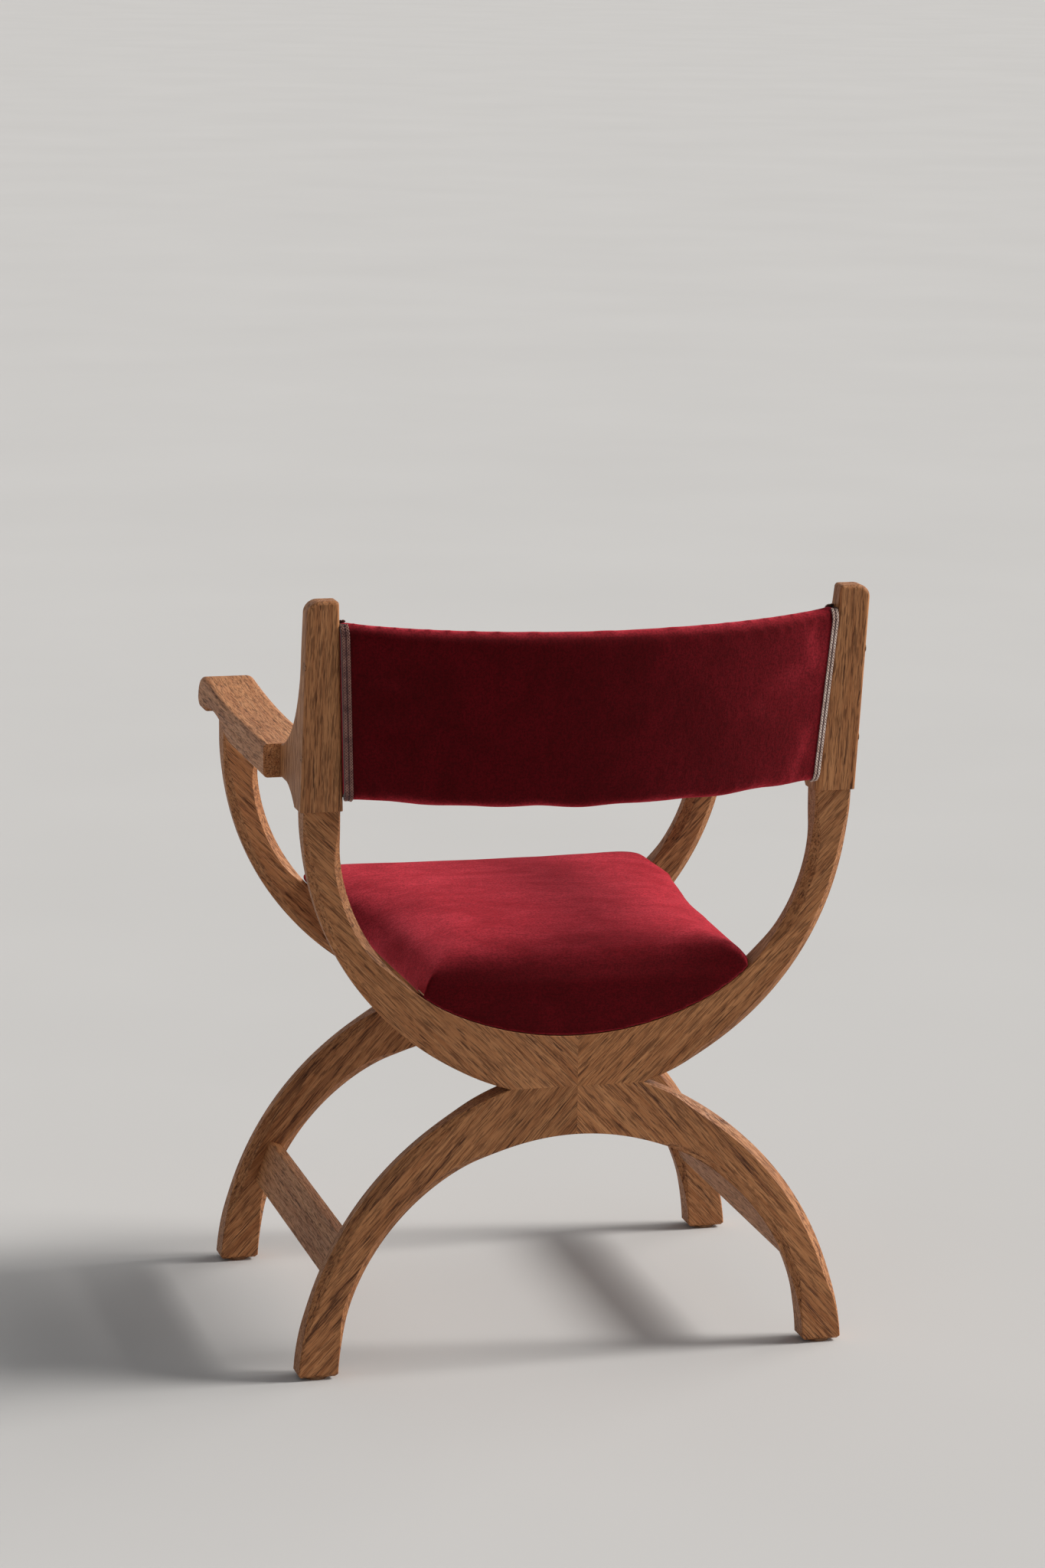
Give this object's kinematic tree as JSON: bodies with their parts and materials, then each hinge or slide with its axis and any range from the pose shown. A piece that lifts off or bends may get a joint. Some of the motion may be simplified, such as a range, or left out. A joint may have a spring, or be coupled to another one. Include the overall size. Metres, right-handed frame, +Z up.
{
  "type": "armchair",
  "caption": "Fixed savonarola armchair in light oak: two frames of curved boards meeting in a crossing, scrolled arms, bowed red velvet back and seat with braid trim.",
  "frame": {"origin": "on the floor, at the middle of the chair's bounding box seen from above", "axes": "+Z up, -Y towards the front where the sitter faces, +X towards the sitter's left"},
  "size_m": [0.646, 0.56, 0.8509],
  "materials": {
    "oak": "soaped light oak with open grain, satin",
    "dowel_beech": "turned beech, matte",
    "plywood": "birch plywood, unfinished",
    "rail_pine": "sawn pine, unfinished",
    "velvet": "crimson cotton velvet, short pile with a soft sheen",
    "braid": "woven gimp braid, faded rose and beige",
    "foam": "polyether foam, open cell",
    "dust_cloth": "thin black cambric",
    "steel": "zinc plated wood screws",
    "glide": "amber nylon nail glide, worn"
  },
  "bodies": {
    "root": {"rear_upper_left_arc": "oak", "rear_upper_right_arc": "oak", "rear_lower_left_arc": "oak", "rear_lower_right_arc": "oak", "front_upper_left_arc": "oak", "front_upper_right_arc": "oak", "front_lower_left_arc": "oak", "front_lower_right_arc": "oak", "left_back_post": "oak", "left_armrest": "oak", "left_stretcher": "oak", "right_back_post": "oak", "right_armrest": "oak", "right_stretcher": "oak", "crossing_dowels": "dowel_beech", "mitre_dowels": "dowel_beech", "post_dowels": "dowel_beech", "armrest_dowels": "dowel_beech", "stretcher_dowels": "dowel_beech", "foot_glides": "glide", "seat_cover": "velvet", "seat_foam": "foam", "seat_board": "plywood", "seat_rear_rail": "rail_pine", "seat_front_rail": "rail_pine", "left_seat_side_rail": "rail_pine", "right_seat_side_rail": "rail_pine", "seat_dust_cloth": "dust_cloth", "seat_screws": "steel", "back_cover": "velvet", "back_foam": "foam", "back_core": "plywood", "left_rear_gimp": "braid", "left_front_gimp": "braid", "right_rear_gimp": "braid", "right_front_gimp": "braid", "back_screws": "steel", "back_screw_plugs": "oak"}
  },
  "joints": []
}
